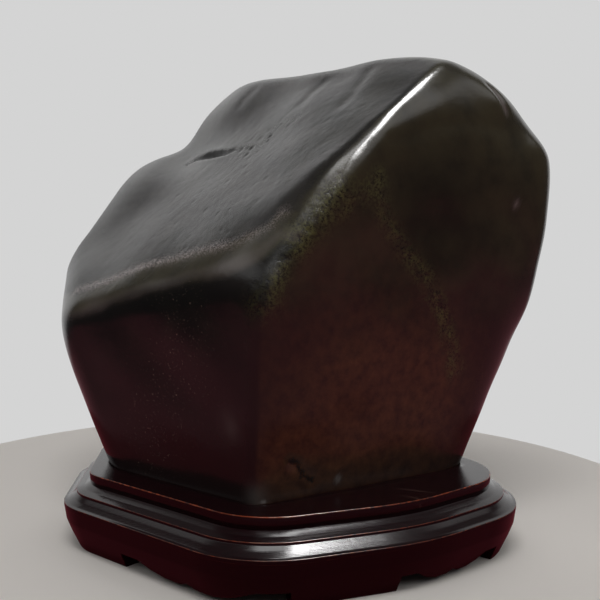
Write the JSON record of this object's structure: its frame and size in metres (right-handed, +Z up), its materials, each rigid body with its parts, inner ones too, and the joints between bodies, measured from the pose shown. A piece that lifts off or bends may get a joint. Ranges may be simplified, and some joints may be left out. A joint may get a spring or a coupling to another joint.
{
  "type": "scholars rock on stand",
  "caption": "Polished black viewing stone with sloping facets, resting in the carved recess of a stepped dark wooden stand with a scalloped apron and feet.",
  "frame": {"origin": "centre of the bounding box in plan, at the height of the surface that the feet stand on", "axes": "+Z up, the front corner of the stone and stand faces -Y, +X to the viewer's right"},
  "size_m": [0.2458, 0.1842, 0.2273],
  "materials": {
    "polished_stone": "polished black stone, olive and rust mottling, satin on the slope",
    "lacquered_wood": "dark red-brown gloss lacquer over carved wood, rubbed to orange on the edges"
  },
  "bodies": {
    "root": {"scholars_rock": "polished_stone", "seat_board": "lacquered_wood", "stand_base": "lacquered_wood"}
  },
  "joints": []
}
